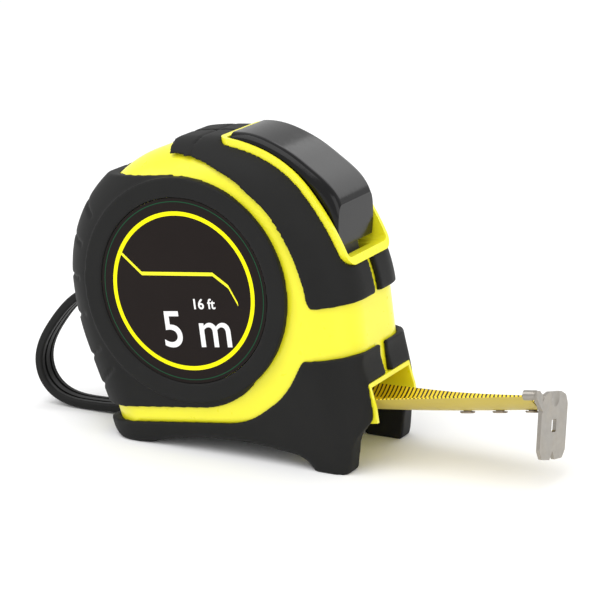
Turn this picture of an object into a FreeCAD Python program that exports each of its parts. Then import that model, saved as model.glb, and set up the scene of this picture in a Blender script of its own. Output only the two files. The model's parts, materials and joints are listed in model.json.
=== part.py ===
"""Pocket tape measure: two-shell plastic case in a rubber jacket, self-locking press button, sprung reel, steel blade with end hook, wrist strap.

Every piece is drawn in the design frame: origin on the reel axis, X forward along the blade, Z up, Y across the case, millimetres.
At the end each piece is turned nose-up by the stance angle and lifted, so that the feet and the rear sole stand on z = 0 of the part frame.
"""
import FreeCAD, Part
import Sketcher
import os
import math
from FreeCAD import Vector as V, Placement, Rotation

os.makedirs("parts", exist_ok=True)
doc = FreeCAD.newDocument("tape_measure")

# ------------------------------------------------------------------ driving dimensions
DIMS = [
    ("stance_deg", 7.2), ("ground_drop", 39.4), ("shift_fwd", -16.75),
    ("shell_half", 17.0), ("shell_wall", 1.9), ("crown_rad", 11.0), ("floor_rad", 4.0),
    ("ring_rad", 27.0), ("ring_face", 19.0), ("jacket", 1.5), ("jacket_half", 18.0),
    ("label_rad", 22.2), ("label_gap", 0.2), ("label_thick", 0.5), ("label_sink", 0.4),
    ("sole_half", 17.9), ("foot_inner", 11.2), ("foot_edge", 2.5),
    ("rim_half", 10.9), ("rim_wall", 1.1), ("rim_rise", 1.8), ("front_line", 40.0),
    ("mouth_half", 9.8), ("mouth_wall", 0.9), ("mouth_top", -25.3), ("mouth_floor", -34.15), ("mouth_front", 41.9),
    ("blade_wide", 17.9), ("blade_thick", 0.32), ("blade_low", -32.35), ("blade_out", 80.4), ("blade_in", 24.0), ("blade_sag", 3.4),
    ("reel_out", 19.0), ("reel_wall", 1.6), ("reel_half", 9.6), ("flange", 1.2), ("arbor_rad", 3.2), ("run_gap", 0.06),
    ("coil_in", 19.06), ("coil_out", 25.4), ("coil_strip", 0.42), ("spring_strip", 0.3), ("spring_wide", 15.0),
    ("hook_wide", 14.6), ("hook_thick", 0.9), ("hook_play", 0.8), ("hook_unroll", 3.0), ("rivet_rad", 1.0),
    ("button_half", 8.7), ("pin_rad", 1.0), ("lever_pin_rad", 1.25),
    ("strap_wide", 6.0), ("strap_thick", 2.1), ("screw_rad", 1.2), ("screw_head", 2.4),
]
sheet = doc.addObject("Spreadsheet::Sheet", "dims")
P = {}
for i, (name, value) in enumerate(DIMS, start=1):
    sheet.set("A%d" % i, name)
    sheet.set("B%d" % i, str(value))
    sheet.setAlias("B%d" % i, name)
    P[name] = value
doc.recompute()
for name, _ in DIMS:
    P[name] = float(sheet.get(name))

T = math.radians(P["stance_deg"])
ground = lambda x: (-P["ground_drop"] - math.sin(T) * x) / math.cos(T)


# ------------------------------------------------------------------ outline helpers
def unit(v):
    n = math.hypot(*v)
    return (v[0] / n, v[1] / n)


def circle_tangent(a, b, c):
    """Tangent at b of the circle through a, b, c, in the direction of travel."""
    u, w = (b[0] - a[0], b[1] - a[1]), (c[0] - b[0], c[1] - b[1])
    lu, lw = math.hypot(*u), math.hypot(*w)
    t = (u[0] / lu * lw + w[0] / lw * lu, u[1] / lu * lw + w[1] / lw * lu)
    return unit(t)


def arc_edge(p, t, q):
    """Arc (or line) from p with tangent t to q."""
    w = (q[0] - p[0], q[1] - p[1])
    L = math.hypot(*w)
    cr = w[0] * t[1] - w[1] * t[0]
    dt = w[0] * t[0] + w[1] * t[1]
    a = math.atan2(cr, dt)
    if abs(a) < 1e-4:
        return Part.LineSegment(V(p[0], p[1], 0), V(q[0], q[1], 0))
    s = L / 2 * math.tan(a / 2)
    m = ((p[0] + q[0]) / 2 - w[1] / L * s, (p[1] + q[1]) / 2 + w[0] / L * s)
    return Part.Arc(V(p[0], p[1], 0), V(m[0], m[1], 0), V(q[0], q[1], 0))


def biarc(p, t, q, u):
    v = (q[0] - p[0], q[1] - p[1])
    vv = v[0] ** 2 + v[1] ** 2
    vt = v[0] * (t[0] + u[0]) + v[1] * (t[1] + u[1])
    k = 1 - (t[0] * u[0] + t[1] * u[1])
    vu = v[0] * u[0] + v[1] * u[1]
    if k < 1e-7:
        if abs(v[0] * t[1] - v[1] * t[0]) < 1e-6:
            return [Part.LineSegment(V(p[0], p[1], 0), V(q[0], q[1], 0))]
        d = vv / (4 * vu)
    else:
        d = (-vt + math.sqrt(vt * vt + 2 * k * vv)) / (2 * k)
    m = ((p[0] + q[0] + d * (t[0] - u[0])) / 2, (p[1] + q[1] + d * (t[1] - u[1])) / 2)
    first = arc_edge(p, t, m)
    back = arc_edge(q, (-u[0], -u[1]), m)
    if isinstance(back, Part.LineSegment):
        second = Part.LineSegment(V(m[0], m[1], 0), V(q[0], q[1], 0))
    else:
        mid = back.value((back.FirstParameter + back.LastParameter) / 2)
        second = Part.Arc(V(m[0], m[1], 0), mid, V(q[0], q[1], 0))
    return [first, second]


def resolve(knots):
    """knots: (x, z), (x, z, 'c') for a sharp corner, or (x, z, (tx, tz)). Returns points, tangents (None at corners)."""
    pts = [(k[0], k[1]) for k in knots]
    n, tans = len(knots), []
    for i, k in enumerate(knots):
        if len(k) > 2 and k[2] == "c":
            tans.append(None)
        elif len(k) > 2:
            tans.append(unit(k[2]))
        else:
            tans.append(circle_tangent(pts[i - 1], pts[i], pts[(i + 1) % n]))
    return pts, tans


def outline(knots, off=0.0):
    """Closed outline of lines and arcs with one tangent at each smooth knot; off moves it outwards (knots run counter-clockwise)."""
    pts, tans = resolve(knots)
    if off:
        pts = [(p[0] + t[1] * off, p[1] - t[0] * off) if t else p for p, t in zip(pts, tans)]
    out, n = [], len(pts)
    for i in range(n):
        j = (i + 1) % n
        p, q, t, u = pts[i], pts[j], tans[i], tans[j]
        if t is None and u is None:
            out.append(Part.LineSegment(V(p[0], p[1], 0), V(q[0], q[1], 0)))
        elif u is None:
            out.append(arc_edge(p, t, q))
        elif t is None:
            back = arc_edge(q, (-u[0], -u[1]), p)
            if isinstance(back, Part.LineSegment):
                out.append(Part.LineSegment(V(p[0], p[1], 0), V(q[0], q[1], 0)))
            else:
                mid = back.value((back.FirstParameter + back.LastParameter) / 2)
                out.append(Part.Arc(V(p[0], p[1], 0), mid, V(q[0], q[1], 0)))
        else:
            out += biarc(p, t, q, u)
    return out


# ------------------------------------------------------------------ document helpers
def plane_of(body, role):
    return [f for f in body.Origin.OriginFeatures if f.Role == role][0]


def body_pad(name, loops, near, far=None, expr=None):
    """PartDesign body: XZ outline padded across Y. With far None it is symmetric with half width near, else it spans -near to -far."""
    b = doc.addObject("PartDesign::Body", name)
    s = b.newObject("Sketcher::SketchObject", name + "_sketch")
    s.AttachmentSupport = [(plane_of(b, "XZ_Plane"), "")]
    s.MapMode = "FlatFace"
    if far is not None:
        s.AttachmentOffset = Placement(V(0, 0, near), Rotation())
    for loop in loops:
        if isinstance(loop, tuple):
            g = s.addGeometry(Part.Circle(V(loop[0], loop[1], 0), V(0, 0, 1), loop[2]))
            c = s.addConstraint(Sketcher.Constraint("Radius", g, loop[2]))
            if len(loop) > 3:
                s.renameConstraint(c, "r%d" % g)
                s.setExpression("Constraints.r%d" % g, loop[3])
        else:
            for e in loop:
                s.addGeometry(e)
    doc.recompute()
    p = b.newObject("PartDesign::Pad", name + "_pad")
    p.Profile = s
    if far is None:
        p.Midplane = True
        p.Length = 2 * near
    else:
        p.Length = far - near
    if expr:
        p.setExpression("Length", expr)
    doc.recompute()
    return b


def fillet_edges(b, radius, test, expr=None):
    """PartDesign fillet on the edges of the body's tip that pass test(edge)."""
    tip = b.Tip
    names = ["Edge%d" % (i + 1) for i, e in enumerate(tip.Shape.Edges) if test(e)]
    f = b.newObject("PartDesign::Fillet", b.Name + "_round%d" % len(b.Group))
    f.Base = (tip, names)
    f.Radius = radius
    if expr:
        f.setExpression("Radius", expr)
    doc.recompute()
    return b


def rim_edges(y, zmin=-1e9, xmin=-1e9, xmax=1e9, both=True):
    def test(e):
        bb = e.BoundBox
        flat = bb.YMax - bb.YMin < 1e-4
        here = abs(abs(bb.YMin) - y) < 1e-3 if both else abs(bb.YMin + y) < 1e-3
        return flat and here and bb.ZMin > zmin and bb.XMin > xmin and bb.XMax < xmax
    return test


def boolean(kind, name, base, tool):
    o = doc.addObject("Part::" + kind, name)
    o.Base, o.Tool = base, tool
    return o


def cut(name, base, *tools):
    for i, t in enumerate(tools):
        base = boolean("Cut", name if i == len(tools) - 1 else "%s_c%d" % (name, i), base, t)
    return base


def fuse(name, *shapes):
    o = doc.addObject("Part::MultiFuse", name)
    o.Shapes = list(shapes)
    return o


def common(name, a, b):
    return boolean("Common", name, a, b)


def box(name, x, y, z):
    o = doc.addObject("Part::Box", name)
    o.Length, o.Width, o.Height = x[1] - x[0], y[1] - y[0], z[1] - z[0]
    o.Placement = Placement(V(x[0], y[0], z[0]), Rotation())
    return o


def ycyl(name, x, z, r, y0, y1, expr=None):
    """Cylinder along Y from y0 to y1."""
    o = doc.addObject("Part::Cylinder", name)
    o.Radius, o.Height = r, y1 - y0
    if expr:
        o.setExpression("Radius", expr)
    o.Placement = Placement(V(x, y0, z), Rotation(V(1, 0, 0), -90))
    return o


def mirror(name, src):
    o = doc.addObject("Part::Mirroring", name)
    o.Source, o.Normal, o.Base = src, V(0, 1, 0), V(0, 0, 0)
    return o


def feature(name, shape):
    o = doc.addObject("Part::Feature", name)
    o.Shape = shape
    return o


# ------------------------------------------------------------------ main outlines (X, Z)
FRONT = P["front_line"]
S = [  # outside of the plastic shell at the middle of its width
    (-22, -35, (1, 0)), (36.0, -35, (1, 0)), (FRONT, -31.0, (0, 1)), (FRONT, -6, (0, 1)),
    (34.8, 13.4), (24.9, 26.6), (14.0, 31.9), (1, 33.2, (-1, 0)), (-14.55, 29.84), (-27.2, 19.0),
    (-33.2, 0, (0, -1)), (-32.6, -9), (-30.9, -19), (-28.8, -29.0),
]
CROWN = [(-24.0, -60, "c"), (FRONT, -60, "c"), (FRONT, -31.0, (0, 1))] + S[3:]
REAR = [  # outside of the jacket at the rear, thicker than at the top
    (-24.0, -60, "c"), (FRONT + 1.1, -60, "c"), (FRONT + 1.1, -31.0, (0, 1)), (FRONT + 1.1, -6, (0, 1)),
    (36.0, 14.0), (25.8, 28.0), (14.5, 33.4), (1, 34.7, (-1, 0)), (-15.3, 31.4), (-29.3, 20.7),
    (-36.2, 0, (0, -1)), (-35.6, -9), (-33.4, -19), (-30.6, -29.0),
]
SOLE = [  # outside of the sole, feet and cheeks; its top is buried in the shell, the feet run past the ground and are cut flat
    (-31.8, -20), (-29.4, -31.0), (-27.2, -34.3), (-23.6, -36.9), (-20.5, -38.0), (-17.0, -38.0), (-13.5, -37.3),
    (-8.5, -36.7), (-2, -36.4), (5, -36.8), (10, -37.2), (15.5, -38.2), (21, -39.4), (24.8, -40.6), (27.3, -43.0), (28.6, -46.5),
    (31.6, -48.6), (34.6, -47.6), (36.8, -43.6), (37.7, -40.0), (38.5, -37.0), (40.2, -34.4), (41.9, -32.2), (42.4, -29.8), (41.2, -17.0),
]


def swell(name, knots, half, round_, off=0.0, test=None, expr=None, rexpr=None):
    """Outline padded across the width with rounded side edges."""
    b = body_pad(name, [outline(knots, off)], half, expr=expr)
    return fillet_edges(b, round_, test or (lambda e: rim_edges(half)(e) and not (e.BoundBox.ZMax < -58)), rexpr)


w = P["shell_wall"]
env_low = swell("env_low", S, P["shell_half"], P["floor_rad"], test=rim_edges(P["shell_half"]), expr="2 * dims.shell_half", rexpr="dims.floor_rad")
env_crown = swell("env_crown", CROWN, P["shell_half"], P["crown_rad"], expr="2 * dims.shell_half", rexpr="dims.crown_rad")
envelope = common("envelope", env_low, env_crown)
hollow_low = swell("hollow_low", S, P["shell_half"] - w, 1.8, -w, rim_edges(P["shell_half"] - w), "2 * (dims.shell_half - dims.shell_wall)")
hollow_crown = swell("hollow_crown", CROWN, P["shell_half"] - w, P["crown_rad"] - w, -w, expr="2 * (dims.shell_half - dims.shell_wall)",
                     rexpr="dims.crown_rad - dims.shell_wall")
hollow = common("hollow", hollow_low, hollow_crown)


def prism(name, pts, y0, y1):
    """Straight-sided XZ polygon (or ready edges) spanning y0 to y1."""
    if isinstance(pts[0], tuple):
        pts = [Part.LineSegment(V(a[0], a[1], 0), V(b[0], b[1], 0)) for a, b in zip(pts, pts[1:] + pts[:1])]
    return body_pad(name, [pts], -y1, -y0)


def spline(pts):
    c = Part.BSplineCurve()
    c.interpolate([V(p[0], p[1], 0) for p in pts])
    return c


# ------------------------------------------------------------------ button channel with its raised rim
def channel(name, x0, z0, half, r):
    """Prism of the channel: rounded at the rear end as seen from above and at the front end as seen from the front."""
    a = box(name + "_a", (x0, 70), (-half, half), (-10, 60))
    b = box(name + "_b", (-10, 70), (-half, half), (z0, 60))
    fa = doc.addObject("Part::Fillet", name + "_fa")
    fa.Base = a
    doc.recompute()
    fa.Edges = [(i + 1, r, r) for i, e in enumerate(a.Shape.Edges) if e.BoundBox.XMax < x0 + 1e-4 and e.BoundBox.ZLength > 1]
    fb = doc.addObject("Part::Fillet", name + "_fb")
    fb.Base = b
    fb.Edges = [(i + 1, r, r) for i, e in enumerate(b.Shape.Edges) if e.BoundBox.ZMax < z0 + 1e-4 and e.BoundBox.XLength > 1]
    doc.recompute()
    return common(name, fa, fb)


chan_out = channel("chan_out", 9.8, 3.4, P["rim_half"], 3.2)
chan_in = channel("chan_in", 11.5, 5.3, P["rim_half"] - P["rim_wall"], 1.3)
rise = body_pad("rise", [outline(CROWN, P["rim_rise"])], 14.0)
deep = body_pad("deep", [outline(CROWN, -7.5)], 14.0)
rim_band = common("rim_band", chan_out, cut("rise_band", rise, deep))
lever_slot = box("lever_slot", (26, 37.4), (-6.2, 6.2), (0, 6.5))
hub_room = box("hub_room", (8.5, 11.9), (-9.75, 9.75), (20, 30.2))

# ------------------------------------------------------------------ mouth
mh, mw = P["mouth_half"], P["mouth_wall"]
mz1, mz0 = P["mouth_top"], P["mouth_floor"]
mf = P["mouth_front"]
mouth_out = prism("mouth_out", [(30, -35), (34.2, -35), (35.0, -33.9), (mf + 0.7, -33.6), (mf + 0.6, -30), (mf - 0.4, mz1 + 1.0), (30, mz1 + 1.0)],
                  -mh - mw, mh + mw)
mouth_in = box("mouth_in", (18, 60), (-mh, mh), (mz0, mz1))
mouth_low = box("mouth_low", (34.4, 60), (-mh, mh), (-40, mz1))
floor_track = box("floor_track", (-20, 20), (-10.3, 10.3), (-33.6, -29))

# ------------------------------------------------------------------ shells
boss = [ycyl("pedestal_r", 0, 0, 21.9, -18.1, -14.5), ycyl("pedestal_l", 0, 0, 21.9, 14.5, 18.1)]
sock = [cut("socket_r", ycyl("socket_ra", 0, 0, 5.2, -15.3, -11.6), ycyl("socket_rb", 0, 0, P["arbor_rad"] + 0.02, -15.2, -11)),
        cut("socket_l", ycyl("socket_la", 0, 0, 5.2, 11.6, 15.3), ycyl("socket_lb", 0, 0, P["arbor_rad"] + 0.02, 11, 15.2))]
SCREWS = [("rear_top", -21.6, 21.6), ("rear_low", -24.4, -22.2), ("front", 31.2, -20.9)]
posts, bores = [], []
for n, x, z in SCREWS:
    posts.append(common("post_" + n, ycyl("rod_" + n, x, z, 2.9, -15.5, 15.5), envelope))
    bores.append(ycyl("bore_" + n, x, z, P["screw_rad"] + 0.05, -11.0, 18))
    bores.append(ycyl("sink_" + n, x, z, P["screw_head"] + 0.15, 10.5, 25))
# hinge posts of the lock parts stand on the side walls
PB, PL = (13.6, 27.2), (33.5, -3.0)
lever_posts = [common("lever_post_in_r", ycyl("lever_post_r", PL[0], PL[1], 2.9, -15.5, -9.2), envelope),
               common("lever_post_in_l", ycyl("lever_post_l", PL[0], PL[1], 2.9, 9.2, 15.5), envelope)]
lever_bore = ycyl("lever_bore", PL[0], PL[1], P["lever_pin_rad"] + 0.02, -13.5, 13.5)
pin_bore = ycyl("pin_bore", PB[0], PB[1], P["pin_rad"] + 0.02, -10.95, 10.95)

# ------------------------------------------------------------------ wrist strap path (centre line, X Z) from the rear wall round to the sole
STRAP = [(-31.2, -2.2), (-36.0, -3.2), (-41.3, -5.2), (-45.9, -8.4), (-50.2, -12.6), (-53.7, -17.2), (-55.3, -21.6), (-54.9, -26.0),
         (-52.0, -30.0), (-47.0, -32.3), (-41.0, -33.2), (-35.0, -33.6), (-29.5, -33.2)]


def ribbon_loop(path, d_out, d_in):
    """Closed loop of edges: the path offset to its left by d_in and to its right by d_out."""
    pts, n = [V(p[0], p[1], 0) for p in path], len(path)
    c = Part.BSplineCurve()
    c.interpolate(pts)
    m = 40
    side = []
    for d in (d_out, d_in):
        row = []
        for i in range(m + 1):
            u = c.FirstParameter + (c.LastParameter - c.FirstParameter) * i / m
            q = c.value(u)
            t = c.tangent(u)[0]
            row.append((q.x + t.y * d, q.y - t.x * d))
        side.append(row)
    a, b = spline(side[0]), spline(side[1][::-1])
    e0 = Part.LineSegment(V(side[0][-1][0], side[0][-1][1], 0), V(side[1][-1][0], side[1][-1][1], 0))
    e1 = Part.LineSegment(V(side[1][0][0], side[1][0][1], 0), V(side[0][0][0], side[0][0][1], 0))
    return [a, e0, b, e1]


sh = P["strap_thick"] / 2
strap_raw = body_pad("strap_raw", [ribbon_loop(STRAP, sh, -sh)], P["strap_wide"] / 2, expr="dims.strap_wide")
strap_soft = doc.addObject("Part::Fillet", "strap_soft")
strap_soft.Base = strap_raw
doc.recompute()
strap_soft.Edges = [(i + 1, 0.6, 0.6) for i, e in enumerate(strap_raw.Shape.Edges) if e.BoundBox.YLength < 1e-4 and e.Length > 20]
groove = [prism("groove_a", ribbon_loop(STRAP, -sh - 0.6, -sh + 0.35), 0.75, 1.55), prism("groove_b", ribbon_loop(STRAP, -sh - 0.6, -sh + 0.35), -1.55, -0.75)]
head_a = box("strap_head_a", (-33.0, -30.9), (-4.2, 4.2), (-4.6, 0.2))
head_b = box("strap_head_b", (-29.9, -27.2), (-4.2, 4.2), (-35.2, -31.2))
strap_slot = body_pad("strap_slot", [ribbon_loop(STRAP, sh + 0.15, -sh - 0.15)], P["strap_wide"] / 2 + 0.15)
head_room = [box("head_room_a", (-33.2, -30.6), (-4.4, 4.4), (-4.8, 0.4)), box("head_room_b", (-30.1, -26.9), (-4.4, 4.4), (-35.4, -31.0))]
wrist_strap = cut("wrist_strap", fuse("strap_full", strap_soft, head_a, head_b), *groove)

case_all = fuse("case_all", cut("case_wall", envelope, hollow, chan_in), rim_band, mouth_out, *(boss + sock + posts + lever_posts))
front_clear = cut("front_clear", case_all, chan_in, mouth_in, mouth_low, floor_track, lever_slot, hub_room, ycyl("arbor_bore", 0, 0, P["arbor_rad"] + 0.02, -15.2, 15.2), lever_bore, pin_bore, strap_slot, *(bores + head_room))
half_r = box("half_r", (-80, 80), (-40, 0), (-80, 80))
half_l = box("half_l", (-80, 80), (0, 40), (-80, 80))
right_case_shell = common("right_case_shell", front_clear, half_r)
left_case_shell = common("left_case_shell", front_clear, half_l)

# ------------------------------------------------------------------ rubber jacket: three islands on each side
jac_rear = swell("jac_rear", REAR, P["jacket_half"], 11.6, expr="2 * dims.jacket_half")
jac_top = swell("jac_top", CROWN, P["jacket_half"], 12.0, P["jacket"], expr="2 * dims.jacket_half")
sole_loop = [spline(SOLE), Part.LineSegment(V(41.2, -17, 0), V(40.4, 5, 0)), Part.LineSegment(V(40.4, 5, 0), V(-20, 5, 0)), Part.LineSegment(V(-20, 5, 0), V(-31.8, -20, 0))]
jac_sole = body_pad("jac_sole", [sole_loop], P["sole_half"], expr="2 * dims.sole_half")
jac_sole = fillet_edges(jac_sole, P["foot_edge"], lambda e: rim_edges(P["sole_half"])(e) and e.BoundBox.ZMin < -30, "dims.foot_edge")
jac_crown = swell("jac_crown", [(-31.0, -60, "c"), (42.6, -60, "c"), (42.6, -31, (0, 1)), (42.4, -27), (41.2, -15.0), (40, 2), (20, 32, (-1, 0)), (-20, 32, (-1, 0)),
                                (-32.4, -19), (-30.4, -30.0)], P["sole_half"], 10.5)
jac_foot = common("jac_foot", jac_sole, jac_crown)
seg = lambda a, b: Part.LineSegment(V(a[0], a[1], 0), V(b[0], b[1], 0))
jac_core = swell("jac_core", REAR, P["jacket_half"] - 0.5, 11.1, -0.6)
slots = []
for k, ang in enumerate((143.0, 158.0, 174.5, 191.4, 208.5, 219.5)):
    o = box("rib_slot%d" % k, (29.6, 48), (-19, 19), (-0.55, 0.55))
    o.Placement = Placement(V(0, 0, 0), Rotation(V(0, 1, 0), -ang)).multiply(o.Placement)
    slots.append(o)
grooves = [cut("rib_grooves", fuse("rib_slots", *slots), jac_core)]
seam = cut("top_seam", box("top_seam_slot", (3.6, 4.4), (-19, 19), (20, 45)), swell("jac_top_core", CROWN, P["jacket_half"] - 0.45, 11.55, P["jacket"] - 0.45))

area_rear = [seg((-60, -28.6), (1, -28.6)), spline([(1, -28.6), (5, -28.1), (9, -26.8), (12.5, -24.9), (15.4, -22.4)]), seg((15.4, -22.4), (0, 0)), seg((0, 0), (0, 27.3)),
             seg((0, 27.3), (-60, 26.8)), seg((-60, 26.8), (-60, -28.6))]
top_low = spline([(-1.8, 31.7), (3, 31.1), (8, 29.6), (13, 27.1), (17, 24.6), (19.4, 22.4), (23, 18.9), (26.2, 14.2), (28.2, 10.2), (29.7, 6.2), (30.7, 2.3), (31.3, -0.8), (31.6, -3.4), (32.6, -5)])
area_top = [top_low, Part.LineSegment(V(32.6, -5, 0), V(60, -5, 0)), Part.LineSegment(V(60, -5, 0), V(60, 60, 0)),
            Part.LineSegment(V(60, 60, 0), V(-15.8, 60, 0)), Part.LineSegment(V(-15.8, 60, 0), V(-1.8, 31.7, 0))]
band = spline([(6.9, -32.2), (10.9, -31.7), (14.9, -30.3), (17.9, -28.6), (20.9, -26.6), (23.9, -23.8), (25.9, -21.2), (27.9, -18.2), (28.9, -17.0)])
area_sole = [seg((-60, -32.2), (-60, -60)), seg((-60, -60), (60, -60)), seg((60, -60), (60, -17)), seg((60, -17), (28.9, -17)), band, seg((6.9, -32.2), (-60, -32.2))]
g = P["ground_drop"]
floor_box = doc.addObject("Part::Box", "floor_box")
floor_box.Length, floor_box.Width, floor_box.Height = 300, 100, 30
floor_box.Placement = Placement(V(0, 0, 0), Rotation(V(0, 1, 0), P["stance_deg"])).multiply(Placement(V(-150, -50, -g - 30), Rotation()))

rubber = {}
for side, s in (("right", -1), ("left", 1)):
    span = lambda a, b: (-b, -a) if s < 0 else (a, b)
    y = span(0.35, 30)
    label_hole = ycyl(side + "_label_hole", 0, 0, 22.3, *span(12, 30))
    ring = cut(side + "_ring_wall", ycyl(side + "_ring_disc", 0, 0, P["ring_rad"], *span(12, P["ring_face"])), envelope, label_hole)
    area = prism(side + "_area_rear", area_rear, *y)
    heads = [ycyl(side + "_cap_" + n, x, z, P["screw_head"] + 0.15, *span(9, 30)) for n, x, z in SCREWS]
    sink = heads[:2] if s > 0 else []
    back = cut(side + "_rear_pad", common(side + "_rear_band", jac_rear, area), envelope, label_hole, strap_slot, *(grooves + sink + head_room))
    rubber[side + "_ring_grip"] = fuse(side + "_ring_grip", ring, back)
    area = prism(side + "_area_top", area_top, *y)
    rubber[side + "_top_grip"] = cut(side + "_top_grip", common(side + "_top_band", jac_top, area), envelope, chan_out,
                                     box(side + "_top_gap", (20, 60), (-1.5, 1.5), (-20, 3.5)), seam, ycyl(side + "_top_ring", 0, 0, P["ring_rad"] + 0.6, *span(10, 30)))
    area = prism(side + "_area_sole", area_sole, *y)
    foot_gap = box(side + "_foot_gap", (22.5, 60), (-P["foot_inner"], P["foot_inner"]), (-60, -35.0))
    nose_gap = box(side + "_nose_gap", (30, 60), (-1.5, 1.5), (-60, -10))
    lip_gap = box(side + "_lip_gap", (30, 60), (-mh - mw, mh + mw), (-60, mz1 + 1.0))
    under_gap = box(side + "_under_gap", (-40, 30), (-1.2, 1.2), (-60, -30))
    rubber[side + "_sole_grip"] = cut(side + "_sole_grip", common(side + "_sole_band", jac_foot, area), envelope, foot_gap, nose_gap, lip_gap, under_gap,
                                      floor_box, strap_slot, *(head_room + (heads[2:] if s > 0 else [])))

# ------------------------------------------------------------------ labels, screws, pins
right_label = ycyl("right_label", 0, 0, P["label_rad"], -18.1 - P["label_thick"], -18.1, "dims.label_rad")
left_label = ycyl("left_label", 0, 0, P["label_rad"], 18.1, 18.1 + P["label_thick"], "dims.label_rad")
screws = {}
for n, x, z in SCREWS:
    shank = ycyl("shank_" + n, x, z, P["screw_rad"], -10.8, 10.9, "dims.screw_rad")
    head = ycyl("head_" + n, x, z, P["screw_head"], 10.55, 12.3, "dims.screw_head")
    c1 = box("slot_a_" + n, (x - 1.5, x + 1.5), (11.5, 14), (z - 0.32, z + 0.32))
    c2 = box("slot_b_" + n, (x - 0.32, x + 0.32), (11.5, 14), (z - 1.5, z + 1.5))
    screws["case_screw_" + n] = cut("case_screw_" + n, fuse("screw_" + n, shank, head), c1, c2)
lever_pin = ycyl("lever_pin", PL[0], PL[1], P["lever_pin_rad"], -13.4, 13.4, "dims.lever_pin_rad")
button_pin = ycyl("button_pin", PB[0], PB[1], P["pin_rad"], -10.9, 10.9, "dims.pin_rad")

# ------------------------------------------------------------------ lock button (hollow cap, hinged at its rear end)
cap = [spline([(12.5, 35.15), (14.8, 35.0), (19.3, 33.85), (23.2, 32.05), (27.4, 29.45), (31.9, 25.75), (35.9, 21.9), (38.3, 17.2)]),
       seg((38.3, 17.2), (37.0, 7.2)), seg((37.0, 7.2), (33.15, 7.2)),
       Part.Arc(V(33.15, 7.2, 0), V(3 + 31 * math.cos(math.radians(42)), 31 * math.sin(math.radians(42)), 0), V(3 + 31 * math.cos(math.radians(66)), 31 * math.sin(math.radians(66)), 0)),
       seg((3 + 31 * math.cos(math.radians(66)), 31 * math.sin(math.radians(66))), (13.6, 25.0)), seg((13.6, 25.0), (11.95, 27.2)), seg((11.95, 27.2), (12.5, 35.15))]
bh = 9.3
button_block = body_pad("button_block", [cap], bh)
button_block = fillet_edges(button_block, 2.2, lambda e: abs(abs(e.BoundBox.YMin) - bh) < 1e-3 and e.BoundBox.YLength < 1e-3 and e.BoundBox.ZMax > 34.9 and e.Length > 20)
inner = [spline([(17.5, 32.6), (19.0, 32.2), (22.5, 30.6), (26.5, 28.1), (30.9, 24.5), (34.6, 21.0), (36.2, 18.8), (36.7, 17.2)]),
         seg((36.7, 17.2), (35.45, 6.0)), seg((35.45, 6.0), (26, 6.0)), seg((26, 6.0), (17.5, 26)), seg((17.5, 26), (17.5, 32.6))]
button_core = body_pad("button_core", [inner], bh - 1.4)
pin_hole = ycyl("button_bore", PB[0], PB[1], P["pin_rad"] + P["run_gap"], -12, 12)
lock_button = cut("lock_button", button_block, button_core, pin_hole)

# ------------------------------------------------------------------ lock lever and its shoe
def polar(r, deg):
    return (r * math.cos(math.radians(deg)), r * math.sin(math.radians(deg)))


def sector(r0, r1, a0, a1):
    q = lambda r, a: V(polar(r, a)[0], polar(r, a)[1], 0)
    am = (a0 + a1) / 2
    return [Part.Arc(q(r1, a0), q(r1, am), q(r1, a1)), Part.LineSegment(q(r1, a1), q(r0, a1)), Part.Arc(q(r0, a1), q(r0, am), q(r0, a0)), Part.LineSegment(q(r0, a0), q(r1, a0))]


arm = prism("arm_up", [(31.6, -1.2), (33.9, -5.4), (35.9, -2.0), (35.05, 7.7), (33.4, 7.7)], -4.2, 4.2)
shoe_back = body_pad("shoe_back", [sector(27.9, 29.6, -33, -13)], 6.5)
arm2 = prism("arm_down", [(34.6, -5.0), (31.4, -1.4), polar(28.6, -15), polar(28.6, -28)], -4.2, 4.2)
hub = ycyl("lever_hub", PL[0], PL[1], 2.7, -8.9, 8.9)
lock_lever = cut("lock_lever", fuse("lever_full", arm, arm2, shoe_back, hub), ycyl("lever_eye", PL[0], PL[1], P["lever_pin_rad"] + P["run_gap"], -12, 12))
brake_shoe = body_pad("brake_shoe", [sector(25.75, 27.9, -32.5, -13.5)], 6.3)

# ------------------------------------------------------------------ reel, spring and wound blade
rg = P["run_gap"]
ar = P["arbor_rad"]
blade_reel = cut("blade_reel", fuse("reel_body", cut("reel_drum", ycyl("drum_o", 0, 0, P["reel_out"], -9.6, 9.6, "dims.reel_out"),
                                                       ycyl("drum_i", 0, 0, P["reel_out"] - P["reel_wall"], -11, 11)),
                                    ycyl("reel_web", 0, 0, 24.4, 9.6, 10.8), ycyl("reel_boss", 0, 0, 6.0, 8.0, 9.6)),
                 ycyl("reel_bore", 0, 0, ar + rg, -12, 12))
reel_cover = cut("reel_cover", fuse("cover_body", ycyl("cover_disc", 0, 0, 24.4, -10.8, -9.6), ycyl("cover_boss", 0, 0, 6.0, -9.6, -8.0)),
                 ycyl("cover_bore", 0, 0, ar + rg, -12, 12))
spring_arbor = ycyl("spring_arbor", 0, 0, ar, -15.1, 15.1, "dims.arbor_rad")
turns, r0, r1 = 8.0, 3.75, 16.9
sp_a = [polar(r0 + (r1 - r0) * i / 160.0, 360 * turns * i / 160.0) for i in range(161)]
sp_b = [polar(r0 + P["spring_strip"] + (r1 - r0) * i / 160.0, 360 * turns * i / 160.0) for i in range(161)][::-1]
power_spring = body_pad("power_spring", [[spline(sp_a), seg(sp_a[-1], sp_b[0]), spline(sp_b), seg(sp_b[-1], sp_a[0])]], P["spring_wide"] / 2, expr="dims.spring_wide")
coil_edge = [polar(24.95 + 0.45 * i / 24.0, 270 - 345 + 345 * i / 24.0) for i in range(25)]
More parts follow.
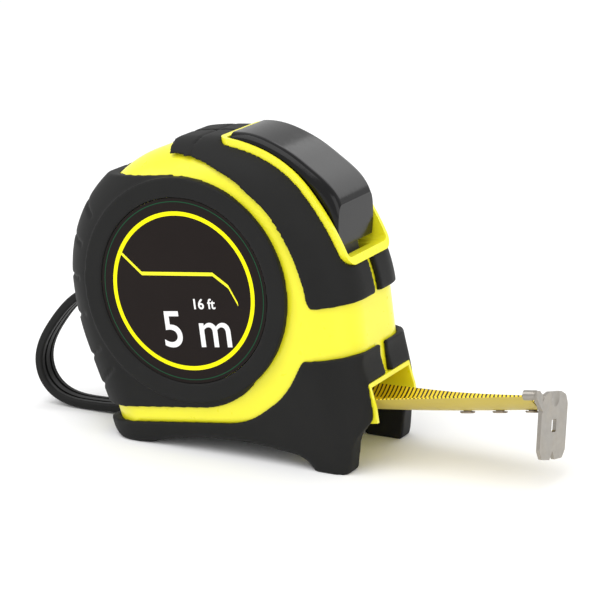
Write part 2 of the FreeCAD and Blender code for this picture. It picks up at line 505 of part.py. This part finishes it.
blade_coil = cut("blade_coil", body_pad("coil_outer", [[spline(coil_edge), seg(coil_edge[-1], coil_edge[0])]], 9.5),
                 ycyl("coil_inner", 0, 0, P["coil_in"], -12, 12, "dims.coil_in"))

# ------------------------------------------------------------------ blade: cupped strip with a slow roll towards the hook
bw, bt = P["blade_wide"] / 2, P["blade_thick"]
NEAR_Z = [(14, -28.9), (24, -28.8), (34, -28.5), (44, -28.1), (54, -27.72), (64, -27.35), (74, -27.0), (84, -26.65)]
FAR_Z = [(14, -28.5), (24, -28.95), (34, -29.7), (44, -30.7), (54, -31.55), (64, -31.95), (74, -32.1), (84, -32.22)]


def along(table, x):
    """Smooth curve through evenly spaced table points."""
    h = table[1][0] - table[0][0]
    i = max(1, min(len(table) - 3, int((x - table[0][0]) // h)))
    u = (x - table[i][0]) / h
    p0, p1, p2, p3 = [table[k][1] for k in (i - 1, i, i + 1, i + 2)]
    return 0.5 * (2 * p1 + (p2 - p0) * u + (2 * p0 - 5 * p1 + 4 * p2 - p3) * u * u + (3 * p1 - p0 - 3 * p2 + p3) * u ** 3)


def cup(x):
    return P["blade_sag"] - 0.55 * max(0.0, min(1.0, (x - 44.0) / 36.0))


def section(x):
    """Middle of the cup's centre line, radius of the upper face, and the unit vectors across and up, at x."""
    zn, zf = along(NEAR_Z, x), along(FAR_Z, x)
    L = math.hypot(2 * bw, zf - zn)
    k = 2 * bw / L                      # the strip keeps its width where it rolls
    ac = V(0, 2 * bw / L, (zf - zn) / L)
    up = V(0, -ac.z, ac.y)
    s_ = cup(x)
    R = (bw * bw + s_ * s_) / (2 * s_)
    mid = V(x, 0, (zn + zf) / 2)
    return mid + up * (R - s_), R, ac, up


def strip_wire(x, half, d0, d1):
    c, R, ac, up = section(x)
    a = math.asin(min(1.0, half / R))
    at = lambda r, t: c + ac * (r * math.sin(t)) - up * (r * math.cos(t))
    lo, hi = [at(R - d0, t) for t in (-a, 0, a)], [at(R - d1, t) for t in (-a, 0, a)]
    e = [Part.Arc(*lo).toShape(), Part.LineSegment(lo[2], hi[2]).toShape(), Part.Arc(*hi[::-1]).toShape(), Part.LineSegment(hi[0], lo[0]).toShape()]
    return Part.Wire(e)


def strip_loft(x0, x1, half, d0, d1, n):
    return Part.makeLoft([strip_wire(x0 + (x1 - x0) * i / n, half, d0, d1) for i in range(n + 1)], True, False)


RIVETS = [61.0, 69.2, 77.4]
blade_shape = strip_loft(P["blade_in"], P["blade_out"], bw, -bt, 0.0, 10)
tongue_shape = strip_loft(57.6, 81.9, 4.0, 0.05, 0.75, 5)
rivet_shapes, hole_shapes, slot_shapes = [], [], []
for x in RIVETS:
    c, R, side, up = section(x)
    base = c - up * R
    shank = Part.makeCylinder(P["rivet_rad"], 1.9, base - up * 0.9, up)
    low = Part.makeCylinder(1.75, 0.42, base - up * (bt + 0.62), up)
    low = low.makeFillet(0.3, [e for e in low.Edges if (e.CenterOfMass - (base - up * (bt + 0.62))).Length < 0.05])
    high = Part.makeCylinder(1.75, 0.42, base + up * 0.98, up)
    high = high.makeFillet(0.3, [e for e in high.Edges if (e.CenterOfMass - (base + up * 1.40)).Length < 0.05])
    rivet_shapes.append(shank.fuse([low, high]).removeSplitter())
    hole_shapes.append(Part.makeCylinder(P["rivet_rad"] + 0.02, 6, base - up * 3, up))
    rs = P["rivet_rad"] + 0.08
    play = P["hook_play"] + 0.1
    slot = Part.makeCylinder(rs, 6, base - up * 3, up).fuse([Part.makeCylinder(rs, 6, base - up * 3 + V(play, 0, 0), up)])
    blk = Part.makeBox(play, 2 * rs, 6)
    blk.Placement = Placement(base - up * 3 - side * rs, Rotation(V(1, 0, 0), side, up, "XYZ"))
    slot_shapes.append(slot.fuse([blk]))
blade = cut("blade", feature("blade_strip", blade_shape), feature("blade_holes", Part.makeCompound(hole_shapes)))

# end hook: tongue riveted on the blade, bent down into a plate
HZ = -30.9                       # height of the blade's trough at the hook, in the plate's own frame
hc, hR, hac, hup = section(82.0)
plate_pts = [(-7.3, -31.0), (-7.2, -41.8), (-5.6, -43.7), (-1.5, -43.9), (0.0, -41.9), (1.5, -43.9), (5.6, -43.7), (7.2, -41.8), (7.3, -31.2), (6.0, -29.2), (3.2, -28.4), (-3.2, -28.4), (-6.0, -29.2)]


def plate_solid():
    face_pts = [V(0, y, z) for y, z in plate_pts]
    wire = Part.makePolygon(face_pts + [face_pts[0]])
    sol = Part.Face(wire).extrude(V(P["hook_thick"], 0, 0))
    cors = [e for e in sol.Edges if abs(e.BoundBox.XLength - P["hook_thick"]) < 1e-4 and not (abs(e.CenterOfMass.y) < 1.6 and e.CenterOfMass.z < -40)]
    sol = sol.makeFillet(1.1, cors)
    win = Part.makeBox(4, 2.6, 2.9, V(-2, -1.3, -37.6))
    win = win.makeFillet(0.5, [e for e in win.Edges if e.BoundBox.XLength > 3])
    scoop = Part.makeSphere(6.4, V(6.4 + P["hook_thick"] - 0.42, 0, -29.6))
    return sol.cut(win), scoop


plate, scoop = plate_solid()
T1 = Placement(V(81.75, 0, 0), Rotation()).multiply(
    Placement(V(0, 0, -31), Rotation(V(0, 1, 0), 4.0)).multiply(Placement(V(0, 0, 31), Rotation())))
hook_roll = math.degrees(math.atan2(-hac.z, hac.y)) - P["hook_unroll"]
T2 = Placement(V(0, 0, HZ), Rotation(V(1, 0, 0), -hook_roll)).multiply(Placement(V(0, 0, -HZ), Rotation()))
plate.Placement = T2.multiply(T1)
scoop.Placement = T2.multiply(T1).multiply(scoop.Placement)
# curled ear that closes over the near edge of the blade
ear_c = V(0, -9.4, -29.1)
ear_arm = Part.Face(Part.makePolygon([V(81.75, y, z) for y, z in [(-7.0, -33.0), (-9.3, -30.7), (-10.5, -29.7), (-10.35, -28.2), (-8.5, -28.1), (-5.6, -30.0), (-7.0, -33.0)]])).extrude(V(P["hook_thick"], 0, 0))
curl = Part.makeCylinder(1.15, 2.9, ear_c + V(79.2, 0, 0), V(1, 0, 0)).cut(Part.makeCylinder(0.62, 6, ear_c + V(76, 0, 0), V(1, 0, 0)))
gate = Part.makeBox(8, 4, 4)
gate.Placement = Placement(ear_c + V(75, 0, 0), Rotation(V(1, 0, 0), -100))
ear = ear_arm.fuse([curl.cut(gate)])
ear.Placement = T2.multiply(ear.Placement)
hook_core = plate.cut(scoop).fuse([ear])
end_hook = cut("end_hook", fuse("hook_full", feature("hook_plate", hook_core), feature("hook_tongue", tongue_shape)), feature("hook_slots", Part.makeCompound(slot_shapes)))
rivets = {}
for i, r in enumerate(rivet_shapes):
    rivets["hook_rivet_%d" % (i + 1)] = feature("hook_rivet_%d" % (i + 1), r)

# lead-in: flat off the coil, cupped where it joins the blade
def lead_wire(x, zc, s_, th):
    if s_ < 0.02:
        s_ = 0.02
    R = (bw * bw + s_ * s_) / (2 * s_)
    lo = [V(x, -bw, zc + s_ - th), V(x, 0, zc - th), V(x, bw, zc + s_ - th)]
    hi = [V(x, bw, zc + s_), V(x, 0, zc), V(x, -bw, zc + s_)]
    e = [Part.Arc(*lo).toShape(), Part.LineSegment(lo[2], hi[0]).toShape(), Part.Arc(*hi).toShape(), Part.LineSegment(hi[2], lo[0]).toShape()]
    return Part.Wire(e)


c24, R24, ac24, up24 = section(P["blade_in"])
lead_low, sag = c24.z - R24 * up24.z, cup(P["blade_in"])
lead = []
for i in range(7):
    f = i / 6.0
    x = 1.0 + (P["blade_in"] - 1.3) * f
    e = f * f * (3 - 2 * f)
    lead.append(lead_wire(x, -25.75 + (lead_low + 25.75) * (0.35 * f + 0.65 * e), sag * e, bt))
blade_lead_in = feature("blade_lead_in", Part.makeLoft(lead, True, False))

# ------------------------------------------------------------------ finish: stance, labels, checks, export
NODES = {"right_case_shell": right_case_shell, "left_case_shell": left_case_shell, "right_label": right_label, "left_label": left_label,
         "lever_pin": lever_pin, "button_pin": button_pin, "lock_button": lock_button, "lock_lever": lock_lever, "brake_shoe": brake_shoe,
         "blade_reel": blade_reel, "reel_cover": reel_cover, "spring_arbor": spring_arbor, "power_spring": power_spring, "blade_coil": blade_coil,
         "blade_lead_in": blade_lead_in, "blade": blade, "end_hook": end_hook, "wrist_strap": wrist_strap}
NODES.update(rubber)
NODES.update(screws)
NODES.update(rivets)
doc.recompute()
stance = Placement(V(P["shift_fwd"], 0, P["ground_drop"]), Rotation(V(0, 1, 0), -P["stance_deg"]))
for name, obj in NODES.items():
    obj.Label = name
    obj.Placement = stance.multiply(obj.Placement)
doc.recompute()
bad = []
for o in doc.Objects:
    if any(s in ("Invalid", "Error") for s in o.State):
        bad.append((o.Name, o.State))
lo, hi = [1e9] * 3, [-1e9] * 3
for name, obj in NODES.items():
    s = obj.Shape
    if s.isNull() or not s.isValid() or len(s.Solids) < 1:
        bad.append((name, "shape", s.isNull(), None if s.isNull() else s.isValid(), len(s.Solids)))
        continue
    if len(s.Solids) != 1:
        print("note", name, len(s.Solids), [round(q.Volume, 2) for q in s.Solids])
    b = s.BoundBox
    lo = [min(a, c) for a, c in zip(lo, (b.XMin, b.YMin, b.ZMin))]
    hi = [max(a, c) for a, c in zip(hi, (b.XMax, b.YMax, b.ZMax))]
print("box", [round(v, 3) for v in lo], [round(v, 3) for v in hi], "centre x", round((lo[0] + hi[0]) / 2, 3))
if bad:
    raise RuntimeError("bad objects: %s" % bad)
for name, obj in NODES.items():
    obj.Shape.exportStep("parts/%s.step" % name)
print("nodes", len(NODES))
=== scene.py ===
import json
import math
import bmesh
import bpy
from mathutils import Matrix, Vector


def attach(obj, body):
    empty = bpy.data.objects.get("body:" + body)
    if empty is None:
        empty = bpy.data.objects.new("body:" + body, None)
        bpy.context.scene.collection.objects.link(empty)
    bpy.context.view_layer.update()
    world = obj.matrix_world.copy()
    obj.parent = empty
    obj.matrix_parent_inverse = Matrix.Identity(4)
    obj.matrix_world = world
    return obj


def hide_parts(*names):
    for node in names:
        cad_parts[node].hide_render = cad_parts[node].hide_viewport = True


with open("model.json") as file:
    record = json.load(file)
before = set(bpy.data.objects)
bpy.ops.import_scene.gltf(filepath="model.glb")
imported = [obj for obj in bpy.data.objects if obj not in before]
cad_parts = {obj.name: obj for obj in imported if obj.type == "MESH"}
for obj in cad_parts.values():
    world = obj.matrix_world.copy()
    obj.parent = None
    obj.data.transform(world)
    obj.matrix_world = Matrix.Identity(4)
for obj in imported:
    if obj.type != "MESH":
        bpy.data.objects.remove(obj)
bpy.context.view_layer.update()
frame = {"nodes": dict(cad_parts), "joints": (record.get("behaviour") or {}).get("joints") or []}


N = frame["nodes"]
scene = bpy.context.scene

# ------------------------------------------------------------------ the part frame: nose-up stance, label centre
T = math.radians(7.2)
joints = {j["name"]: j for j in frame["joints"]}
C0 = Vector(joints["reel_spin"]["pos_m"])          # reel axis at the middle plane
FWD = Vector((math.cos(T), 0.0, math.sin(T)))      # along the blade
UPW = Vector((-math.sin(T), 0.0, math.cos(T)))


def D(x, y, z):
    """Point given in millimetres in the nose-up design frame."""
    return C0 + FWD * (x / 1000) + Vector((0, y / 1000, 0)) + UPW * (z / 1000)


# ------------------------------------------------------------------ camera
cam_data = bpy.data.cameras.new("camera")
cam_data.lens = 150.0
cam_data.sensor_width = 36.0
cam_data.clip_start = 0.01
cam = bpy.data.objects.new("camera", cam_data)
scene.collection.objects.link(cam)
right, up, back = Vector((0.88336, 0.46854, -0.01233)), Vector((-0.11777, 0.24736, 0.96175)), Vector((0.45367, -0.84811, 0.27368))
eye = Vector((0.28808, -0.49949, 0.15687)) + Vector((C0.x, 0, C0.z))
cam.matrix_world = Matrix(((right.x, up.x, back.x, eye.x), (right.y, up.y, back.y, eye.y), (right.z, up.z, back.z, eye.z), (0, 0, 0, 1)))
scene.camera = cam
scene.view_settings.view_transform = "Standard"
scene.view_settings.look = "None"
scene.view_settings.exposure = 0.0


# ------------------------------------------------------------------ node helpers
class Mat:
    def __init__(self, name):
        self.m = bpy.data.materials.new(name)
        self.m.use_nodes = True
        self.t = self.m.node_tree
        self.b = self.t.nodes["Principled BSDF"]
        self.co = self.t.nodes.new("ShaderNodeTexCoord")

    def node(self, kind, **kw):
        n = self.t.nodes.new(kind)
        for k, v in kw.items():
            setattr(n, k, v)
        return n

    def link(self, a, b):
        self.t.links.new(a, b)

    def set(self, **kw):
        for k, v in kw.items():
            self.b.inputs[k.replace("_", " ")].default_value = v

    def math(self, op, a, b=None, c=None, clamp=False):
        n = self.node("ShaderNodeMath", operation=op, use_clamp=clamp)
        for i, v in enumerate((a, b, c)):
            if v is None:
                continue
            if isinstance(v, (int, float)):
                n.inputs[i].default_value = v
            else:
                self.link(v, n.inputs[i])
        return n.outputs[0]

    def noise(self, scale, detail=3.0, rough=0.5, vec=None, dist=0.0):
        n = self.node("ShaderNodeTexNoise")
        n.inputs["Scale"].default_value = scale
        n.inputs["Detail"].default_value = detail
        n.inputs["Roughness"].default_value = rough
        n.inputs["Distortion"].default_value = dist
        self.link(vec if vec is not None else self.co.outputs["Object"], n.inputs["Vector"])
        return n.outputs["Fac"]

    def ramp(self, fac, stops, interp="LINEAR"):
        n = self.node("ShaderNodeValToRGB")
        n.color_ramp.interpolation = interp
        els = n.color_ramp.elements
        while len(els) < len(stops):
            els.new(0.5)
        for e, (p, c) in zip(els, stops):
            e.position = p
            e.color = c if len(c) == 4 else (*c, 1)
        self.link(fac, n.inputs[0])
        return n.outputs[0]

    def mix(self, fac, a, b):
        n = self.node("ShaderNodeMix", data_type="RGBA")
        if isinstance(fac, (int, float)):
            n.inputs[0].default_value = fac
        else:
            self.link(fac, n.inputs[0])
        for i, v in ((6, a), (7, b)):
            if isinstance(v, tuple):
                n.inputs[i].default_value = v if len(v) == 4 else (*v, 1)
            else:
                self.link(v, n.inputs[i])
        return n.outputs[2]

    def bump(self, height, strength, distance, normal=None):
        n = self.node("ShaderNodeBump")
        n.inputs["Strength"].default_value = strength
        n.inputs["Distance"].default_value = distance
        self.link(height, n.inputs["Height"])
        if normal is not None:
            self.link(normal, n.inputs["Normal"])
        return n.outputs["Normal"]

    def colour(self, v):
        if isinstance(v, tuple):
            self.b.inputs["Base Color"].default_value = v if len(v) == 4 else (*v, 1)
        else:
            self.link(v, self.b.inputs["Base Color"])

    def rough(self, v):
        self.link(v, self.b.inputs["Roughness"])

    def normal(self, v):
        self.link(v, self.b.inputs["Normal"])


def design_xyz(m, origin=None):
    """Separate design-frame coordinates in millimetres: x along the blade, y across, z up."""
    o = origin or C0
    sub = m.node("ShaderNodeVectorMath", operation="SUBTRACT")
    m.link(m.co.outputs["Object"], sub.inputs[0])
    sub.inputs[1].default_value = o
    outs = []
    for axis in (FWD, Vector((0, 1, 0)), UPW):
        d = m.node("ShaderNodeVectorMath", operation="DOT_PRODUCT")
        m.link(sub.outputs[0], d.inputs[0])
        d.inputs[1].default_value = axis * 1000
        outs.append(d.outputs["Value"])
    return outs


def srgb(r, g, b):
    f = lambda c: c / 12.92 if c <= 0.04045 else ((c + 0.055) / 1.055) ** 2.4
    return (f(r / 255), f(g / 255), f(b / 255))


# ------------------------------------------------------------------ materials
def yellow_abs(name, base, lime=0.0):
    m = Mat(name)
    big = m.noise(38, 2)
    m.colour(m.mix(big, tuple(0.94 * c for c in base), base))
    m.rough(m.ramp(m.noise(420, 3), [(0.3, (0.27,) * 3), (0.7, (0.36,) * 3)]))
    m.normal(m.bump(m.noise(1500, 2), 0.08, 0.00004, m.bump(m.noise(90, 2), 0.15, 0.0002)))
    m.set(Subsurface_Weight=0.12, Subsurface_Scale=0.004, Coat_Weight=0.12, Coat_Roughness=0.2, IOR=1.5)
    m.b.inputs["Subsurface Radius"].default_value = (1.0, 0.8, 0.2)
    return m.m


def rubber(name, base=0.0085, rough_lo=0.52, rough_hi=0.68, warm=1.0):
    m = Mat(name)
    n1 = m.noise(55, 4, 0.6)
    n2 = m.noise(900, 3, 0.6)
    c_lo, c_hi = (base * 0.8 * warm, base * 0.8, base * 0.78), (base * 1.35 * warm, base * 1.35, base * 1.3)
    col = m.mix(m.ramp(n1, [(0.3, (0, 0, 0)), (0.72, (1, 1, 1))]), c_lo, c_hi)
    speck = m.ramp(m.noise(2600, 2), [(0.72, (0, 0, 0)), (0.8, (1, 1, 1))])
    m.colour(m.mix(m.math("MULTIPLY", speck, 0.12), col, (0.06, 0.06, 0.057)))
    m.rough(m.ramp(n1, [(0.25, (rough_lo,) * 3), (0.75, (rough_hi,) * 3)]))
    m.normal(m.bump(n2, 0.22, 0.00008, m.bump(m.noise(160, 3), 0.18, 0.00025)))
    m.set(Specular_IOR_Level=0.22, IOR=1.45)
    return m.m


def gloss_black(name):
    m = Mat(name)
    x, y, z = design_xyz(m)
    m.colour(m.mix(m.noise(60, 3), (0.0025, 0.0025, 0.0027), (0.004, 0.004, 0.0043)))
    scuff = m.ramp(m.noise(700, 5, 0.7), [(0.45, (0.13,) * 3), (0.75, (0.24,) * 3)])
    m.rough(scuff)
    m.normal(m.bump(m.noise(45, 2), 0.10, 0.0006))
    m.set(Coat_Weight=0.0, Specular_IOR_Level=0.3, IOR=1.45)
    return m.m


def matt_black(name):
    m = Mat(name)
    m.colour(m.mix(m.noise(80, 3), (0.018, 0.018, 0.018), (0.03, 0.03, 0.03)))
    m.rough(m.ramp(m.noise(500, 3), [(0.3, (0.36,) * 3), (0.7, (0.46,) * 3)]))
    m.normal(m.bump(m.noise(1300, 2), 0.15, 0.00005))
    return m.m


def steel(name, base, lo=0.28, hi=0.45, tint=(0.42, 0.36, 0.28), grime=0.35):
    m = Mat(name)
    n = m.noise(160, 5, 0.65)
    m.colour(m.mix(m.ramp(n, [(0.42, (0, 0, 0)), (0.78, (grime,) * 3)]), base, tint))
    m.rough(m.ramp(m.noise(600, 4, 0.6), [(0.3, (lo,) * 3), (0.75, (hi,) * 3)]))
    m.normal(m.bump(m.noise(900, 4, 0.6), 0.12, 0.00006, m.bump(m.noise(120, 2), 0.12, 0.0002)))
    m.set(Metallic=1.0)
    return m.m


def acetal(name, base):
    m = Mat(name)
    m.colour(m.mix(m.noise(60, 2), tuple(c * 0.93 for c in base), base))
    m.rough(m.ramp(m.noise(400, 2), [(0.3, (0.4,) * 3), (0.7, (0.5,) * 3)]))
    m.normal(m.bump(m.noise(900, 2), 0.1, 0.00005))
    return m.m


YEL = yellow_abs("shell_yellow_abs", (0.97, 0.90, 0.022))
RUB = rubber("jacket_rubber_mould")
STR = rubber("strap_rubber_mould", base=0.007, rough_lo=0.42, rough_hi=0.56)
BTN = gloss_black("button_gloss")
BTF = matt_black("button_satin")
HOOK = steel("hook_plated", (0.33, 0.31, 0.28))
RIV = steel("rivet_plated", (0.30, 0.25, 0.20), 0.35, 0.5, grime=0.6)
SCR = steel("screw_blackened", (0.16, 0.16, 0.165), 0.3, 0.45, (0.08, 0.08, 0.08), 0.4)
PIN = steel("pin_turned", (0.55, 0.55, 0.55), 0.2, 0.32)
SPR = steel("spring_blued", (0.20, 0.23, 0.30), 0.25, 0.4, (0.12, 0.12, 0.15), 0.4)
ACE = acetal("reel_acetal", (0.72, 0.72, 0.69))
LEV = acetal("lever_acetal", (0.05, 0.05, 0.05))
SHO = rubber("shoe_rubber_mould", base=0.04)


def label_material():
    m = Mat("label_print")
    x, y, z = design_xyz(m)
    r = m.math("SQRT", m.math("ADD", m.math("MULTIPLY", x, x), m.math("MULTIPLY", z, z)))
    ring = m.math("COMPARE", r, 18.55, 0.5)
    thin = m.math("COMPARE", r, 21.35, 0.09)
    base = m.mix(m.noise(120, 2), (0.0075, 0.0042, 0.0034), (0.0095, 0.0054, 0.0044))
    c = m.mix(thin, base, (0.005, 0.075, 0.03))
    c = m.mix(ring, c, (0.95, 0.90, 0.0))
    m.colour(c)
    m.rough(m.ramp(m.noise(300, 3), [(0.3, (0.34,) * 3), (0.7, (0.42,) * 3)]))
    m.normal(m.bump(m.noise(1200, 2), 0.05, 0.00003))
    m.set(Specular_IOR_Level=0.15, IOR=1.46)
    return m.m


LAB = label_material()


def ink(name, rgb, rough=0.4):
    m = Mat(name)
    m.colour(m.mix(m.noise(300, 3), tuple(0.93 * c for c in rgb), rgb))
    m.rough(m.ramp(m.noise(500, 2), [(0.3, (rough - 0.04,) * 3), (0.7, (rough + 0.04,) * 3)]))
    return m.m


INK_Y, INK_W, INK_K, INK_R = ink("ink_yellow", (0.95, 0.90, 0.0)), ink("ink_white", (0.9, 0.9, 0.9)), ink("ink_black", (0.006, 0.006, 0.006)), ink("ink_red", (0.62, 0.01, 0.01))

ZERO = 81.75   # the hook's inner face, along the blade


def blade_material(name, graduated):
    """Yellow lacquered steel; the inner face carries millimetre, half-centimetre and centimetre ticks from each edge."""
    m = Mat(name)
    x, y, z = design_xyz(m)
    under = m.mix(m.noise(90, 3), srgb(186, 165, 60), srgb(205, 184, 76))
    if not graduated:
        m.colour(under)
    else:
        s = m.math("SUBTRACT", ZERO, x)                      # distance from the hook in mm
        ph = m.math("PINGPONG", s, 0.5)                      # 0 on each whole millimetre
        mm = m.math("LESS_THAN", ph, 0.19)
        ph5 = m.math("LESS_THAN", m.math("PINGPONG", s, 2.5), 0.22)
        ph10 = m.math("LESS_THAN", m.math("PINGPONG", s, 5.0), 0.24)
        e = m.math("SUBTRACT", 8.95, m.math("ABSOLUTE", y))  # distance in from the edge
        t1 = m.math("MULTIPLY", mm, m.math("LESS_THAN", e, 3.9))
        t5 = m.math("MULTIPLY", ph5, m.math("LESS_THAN", e, 5.0))
        t10 = m.math("MULTIPLY", ph10, m.math("LESS_THAN", e, 6.6))
        ticks = m.math("MAXIMUM", t1, m.math("MAXIMUM", t5, t10))
        face = m.mix(m.noise(70, 2), (0.90, 0.66, 0.012), (0.96, 0.72, 0.02))
        top = m.mix(ticks, face, (0.01, 0.008, 0.004))
        nrm = m.node("ShaderNodeNewGeometry")
        vt = m.node("ShaderNodeVectorTransform", vector_type="NORMAL", convert_from="WORLD", convert_to="OBJECT")
        m.link(nrm.outputs["True Normal"], vt.inputs[0])
        d = m.node("ShaderNodeVectorMath", operation="DOT_PRODUCT")
        m.link(vt.outputs[0], d.inputs[0])
        d.inputs[1].default_value = UPW
        m.colour(m.mix(m.math("GREATER_THAN", d.outputs["Value"], 0.05), under, top))
    m.rough(m.ramp(m.noise(260, 3), [(0.3, (0.36,) * 3), (0.7, (0.48,) * 3)]))
    m.normal(m.bump(m.noise(700, 2), 0.06, 0.00005))
    m.set(Coat_Weight=0.1, Coat_Roughness=0.3)
    return m.m


BLADE = blade_material("blade_printed", True)
COIL = blade_material("blade_wound", False)


def give(obj, *mats):
    obj.data.materials.clear()
    for k in mats:
        obj.data.materials.append(k)


LOOK = {"right_case_shell": YEL, "left_case_shell": YEL, "right_label": LAB, "left_label": LAB, "lever_pin": PIN, "button_pin": PIN, "spring_arbor": PIN,
        "lock_button": BTN, "lock_lever": LEV, "brake_shoe": SHO, "blade_reel": ACE, "reel_cover": ACE, "power_spring": SPR, "blade_coil": COIL,
        "blade_lead_in": COIL, "blade": BLADE, "end_hook": HOOK, "wrist_strap": STR, "hook_rivet_1": RIV, "hook_rivet_2": RIV, "hook_rivet_3": RIV,
        "case_screw_front": SCR, "case_screw_rear_low": SCR, "case_screw_rear_top": SCR}
for s in ("right", "left"):
    for k in ("ring", "sole", "top"):
        LOOK["%s_%s_grip" % (s, k)] = RUB


def slots_of(obj, mat):
    """Put the material in every slot the mesh has, without touching the mesh."""
    if not obj.material_slots:
        obj.data.materials.append(mat)
    for sl in obj.material_slots:
        sl.material = mat


for name, mat in LOOK.items():
    slots_of(N[name], mat)


# ------------------------------------------------------------------ soft-edged copies of moulded pieces
def evaluated_copy(name, src, build, mat, body, smooth=True):
    """New object with the source's mesh after the modifiers that build() adds; it replaces the CAD node in the picture."""
    tmp = bpy.data.objects.new(name + "_tmp", src.data.copy())
    scene.collection.objects.link(tmp)
    build(tmp)
    dg = bpy.context.evaluated_depsgraph_get()
    mesh = bpy.data.meshes.new_from_object(tmp.evaluated_get(dg))
    bpy.data.objects.remove(tmp)
    obj = bpy.data.objects.new(name, mesh)
    scene.collection.objects.link(obj)
    mesh.materials.clear()
    mesh.materials.append(mat)
    for p in mesh.polygons:
        p.use_smooth = smooth
        p.material_index = 0
    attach(obj, body)
    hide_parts(src.name)
    return obj


def soften(voxel, rounds, factor=0.5):
    def build(o):
        r = o.modifiers.new("remesh", "REMESH")
        r.mode = "VOXEL"
        r.voxel_size = voxel
        r.use_smooth_shade = True
        s = o.modifiers.new("smooth", "SMOOTH")
        s.factor = factor
        s.iterations = rounds
    return build


for s in ("right", "left"):
    for k, vox, it in (("ring", 0.00042, 5), ("sole", 0.00042, 6), ("top", 0.00038, 5)):
        n = "%s_%s_grip" % (s, k)
        evaluated_copy(n + "_moulded", N[n], soften(vox, it), RUB, "case")


# ------------------------------------------------------------------ printed length and a plain stripe on each label
def on_label(obj, x, z, side, lift=0.03):
    """Lay an object flat on the right (-1) or left (+1) label, its X reading forwards for the viewer of that side."""
    ax = FWD if side < 0 else -FWD
    p = D(x, side * (18.6 + lift), z)
    nrm = Vector((0, side, 0))
    obj.matrix_world = Matrix(((ax.x, UPW.x, nrm.x, p.x), (ax.y, UPW.y, nrm.y, p.y), (ax.z, UPW.z, nrm.z, p.z), (0, 0, 0, 1)))


def words(name, text, x, z, size, mat, side):
    cu = bpy.data.curves.new(name, "FONT")
    cu.body = text
    cu.size = size / 1000
    cu.extrude = 0.00002
    cu.offset = 0.00006
    cu.align_x, cu.align_y = "CENTER", "CENTER"
    cu.materials.append(mat)
    o = bpy.data.objects.new(name, cu)
    scene.collection.objects.link(o)
    on_label(o, x, z, side)
    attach(o, "case")


def stripe(name, pts, mat, side):
    """Flat bent strip: pts are (x, z, half height) along its middle."""
    me = bpy.data.meshes.new(name)
    bm = bmesh.new()
    row = [[bm.verts.new((px / 1000, (pz + k * h) / 1000, q)) for k, q in ((1, 0.00004), (-1, 0.00004), (-1, -0.00004), (1, -0.00004))] for px, pz, h in pts]
    for a, b in zip(row, row[1:]):
        for k in range(4):
            bm.faces.new((a[k], a[(k + 1) % 4], b[(k + 1) % 4], b[k]))
    bm.faces.new(row[0])
    bm.faces.new(row[-1])
    bmesh.ops.recalc_face_normals(bm, faces=bm.faces[:])
    bm.to_mesh(me)
    bm.free()
    me.materials.append(mat)
    o = bpy.data.objects.new(name, me)
    scene.collection.objects.link(o)
    on_label(o, 0, 0, side)
    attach(o, "case")


for side, tag in ((-1, "right"), (1, "left")):
    words("length_metres_" + tag, "5 m", side * -2.4, -9.6, 12.5, INK_W, side)
    words("length_feet_" + tag, "16 ft", side * -5.0, -3.2, 3.4, INK_W, side)
    stripe("label_stripe_" + tag, [(-15.6, 9.4, 0.42), (-10.6, 4.4, 0.42), (8.6, 4.0, 0.42), (12.4, 1.0, 0.42), (14.4, -3.2, 0.42)], INK_Y, side)


# ------------------------------------------------------------------ floor, lights, world
def stage_plane():
    me = bpy.data.meshes.new("floor")
    bm = bmesh.new()
    for v in ((-3, -3), (3, -3), (3, 3), (-3, 3)):
        bm.verts.new((v[0], v[1], -0.00002))
    bm.faces.new(bm.verts)
    bm.to_mesh(me)
    bm.free()
    o = bpy.data.objects.new("floor", me)
    scene.collection.objects.link(o)
    m = Mat("floor_pale")
    m.set(Roughness=0.9)
    m.colour((0.93, 0.93, 0.93))
    me.materials.append(m.m)


stage_plane()


def area(name, loc, target, size, power, size_y=None, color=(1, 1, 1)):
    d = bpy.data.lights.new(name, "AREA")
    d.shape = "RECTANGLE"
    d.size = size
    d.size_y = size_y or size
    d.energy = power
    d.color = color
    o = bpy.data.objects.new(name, d)
    o.location = loc
    o.rotation_euler = (Vector(target) - Vector(loc)).to_track_quat("-Z", "Y").to_euler()
    scene.collection.objects.link(o)


mid = (0, 0, 0.035)
area("key_top", (-0.10, -0.25, 0.75), mid, 0.7, 3.0)
area("fill_left", (-0.75, -0.45, 0.35), mid, 0.6, 1.4)
area("fill_right", (0.80, -0.30, 0.35), mid, 0.6, 1.6)
area("rim_back", (0.15, 0.75, 0.55), mid, 0.6, 1.5)
world = bpy.data.worlds.new("studio")
scene.world = world
world.use_nodes = True
world.node_tree.nodes["Background"].inputs[0].default_value = (1, 1, 1, 1)
world.node_tree.nodes["Background"].inputs[1].default_value = 0.85
